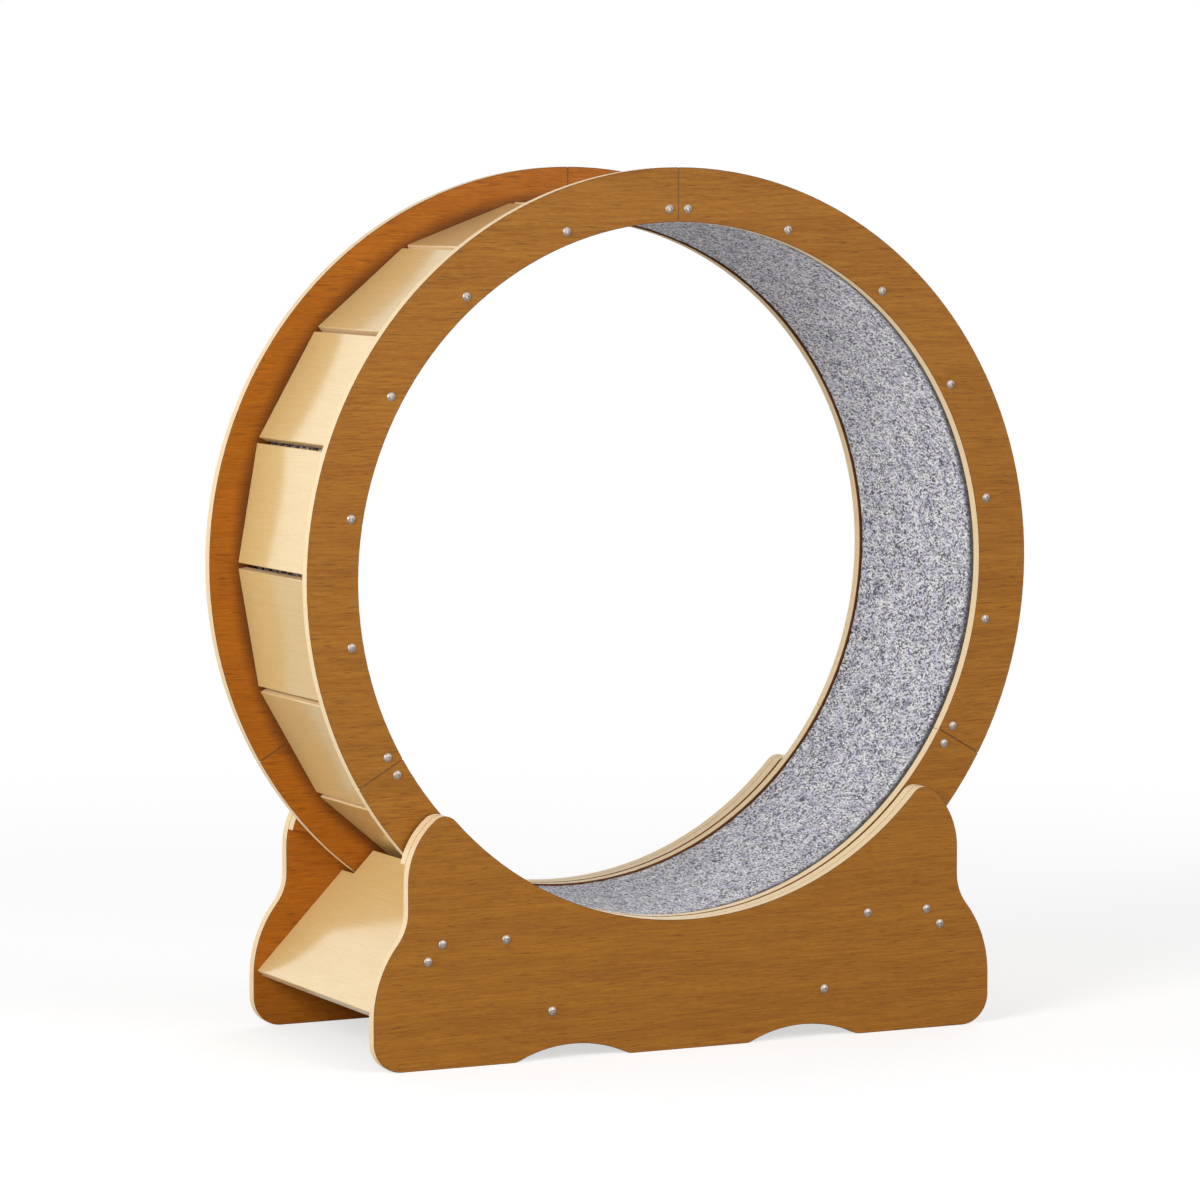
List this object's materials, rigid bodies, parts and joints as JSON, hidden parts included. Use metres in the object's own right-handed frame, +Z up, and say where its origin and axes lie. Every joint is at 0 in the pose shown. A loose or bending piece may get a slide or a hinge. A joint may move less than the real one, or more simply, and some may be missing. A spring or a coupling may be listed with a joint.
{
  "type": "cat exercise wheel",
  "caption": "Free-standing plywood running wheel for a cat, with a carpeted track between two rings that run on grooved rollers in a low base.",
  "frame": {"origin": "on the floor, under the middle of the wheel", "axes": "+Z up, +X to the right and +Y to the back, seen by someone who faces the front ring; the wheel's axis lies along Y"},
  "size_m": [1, 0.4032, 1.095],
  "materials": {
    "ring_plywood": "stained golden brown plywood with fine grain and pale edges, satin",
    "panel_plywood": "stained golden brown plywood with fine grain and pale edges, satin",
    "slat_plywood": "bare birch plywood, sanded",
    "board_plywood": "bare birch plywood, sanded",
    "carpet_pile": "looped pile in mixed light greys",
    "bolt_steel": "bright zinc plate",
    "inner_steel": "plain machined",
    "roller_nylon": "turned, off-white"
  },
  "bodies": {
    "base": {"front_side_panel": "panel_plywood", "back_side_panel": "panel_plywood", "front_panel_liner": "panel_plywood", "back_panel_liner": "panel_plywood", "left_guard_board": "board_plywood", "right_guard_board": "board_plywood", "left_cross_rail": "board_plywood", "right_cross_rail": "board_plywood", "front_panel_bolts": "bolt_steel", "back_panel_bolts": "bolt_steel", "base_barrel_nuts": "inner_steel", "axle_bolts": "bolt_steel", "axle_spacers": "inner_steel", "bearing_sleeves": "inner_steel", "axle_washers": "inner_steel", "axle_lock_nuts": "inner_steel", "bearing_inner_rings": "inner_steel"},
    "wheel": {"front_ring_right": "ring_plywood", "front_ring_bottom": "ring_plywood", "front_ring_left": "ring_plywood", "back_ring_right": "ring_plywood", "back_ring_bottom": "ring_plywood", "back_ring_left": "ring_plywood", "slat_01": "slat_plywood", "slat_02": "slat_plywood", "slat_03": "slat_plywood", "slat_04": "slat_plywood", "slat_05": "slat_plywood", "slat_06": "slat_plywood", "slat_07": "slat_plywood", "slat_08": "slat_plywood", "slat_09": "slat_plywood", "slat_10": "slat_plywood", "slat_11": "slat_plywood", "slat_12": "slat_plywood", "slat_13": "slat_plywood", "slat_14": "slat_plywood", "slat_15": "slat_plywood", "slat_16": "slat_plywood", "slat_17": "slat_plywood", "slat_18": "slat_plywood", "carpet_track": "carpet_pile", "front_ring_bolts": "bolt_steel", "back_ring_bolts": "bolt_steel", "slat_barrel_nuts": "inner_steel"},
    "front_left_roller": {"front_left_roller": "roller_nylon", "front_left_bearing_outer_rings": "inner_steel", "front_left_bearing_balls": "inner_steel"},
    "front_right_roller": {"front_right_roller": "roller_nylon", "front_right_bearing_outer_rings": "inner_steel", "front_right_bearing_balls": "inner_steel"},
    "back_left_roller": {"back_left_roller": "roller_nylon", "back_left_bearing_outer_rings": "inner_steel", "back_left_bearing_balls": "inner_steel"},
    "back_right_roller": {"back_right_roller": "roller_nylon", "back_right_bearing_outer_rings": "inner_steel", "back_right_bearing_balls": "inner_steel"}
  },
  "joints": [
    {"name": "wheel_spin", "type": "hinge", "parent": "base", "child": "wheel", "pos_m": [0, 0, 0.595], "axis": [0, 1, 0], "continuous": true},
    {"name": "front_left_roller_spin", "type": "hinge", "parent": "base", "child": "front_left_roller", "pos_m": [-0.25261, -0.1575, 0.15391], "axis": [0, 1, 0], "continuous": true},
    {"name": "front_right_roller_spin", "type": "hinge", "parent": "base", "child": "front_right_roller", "pos_m": [0.25261, -0.1575, 0.15391], "axis": [0, 1, 0], "continuous": true},
    {"name": "back_left_roller_spin", "type": "hinge", "parent": "base", "child": "back_left_roller", "pos_m": [-0.25261, 0.1575, 0.15391], "axis": [0, 1, 0], "continuous": true},
    {"name": "back_right_roller_spin", "type": "hinge", "parent": "base", "child": "back_right_roller", "pos_m": [0.25261, 0.1575, 0.15391], "axis": [0, 1, 0], "continuous": true}
  ],
  "couplings": [
    {"joint": "front_left_roller_spin", "follows": "wheel_spin", "ratio": -62.5},
    {"joint": "front_right_roller_spin", "follows": "wheel_spin", "ratio": -62.5},
    {"joint": "back_left_roller_spin", "follows": "wheel_spin", "ratio": -62.5},
    {"joint": "back_right_roller_spin", "follows": "wheel_spin", "ratio": -62.5}
  ]
}
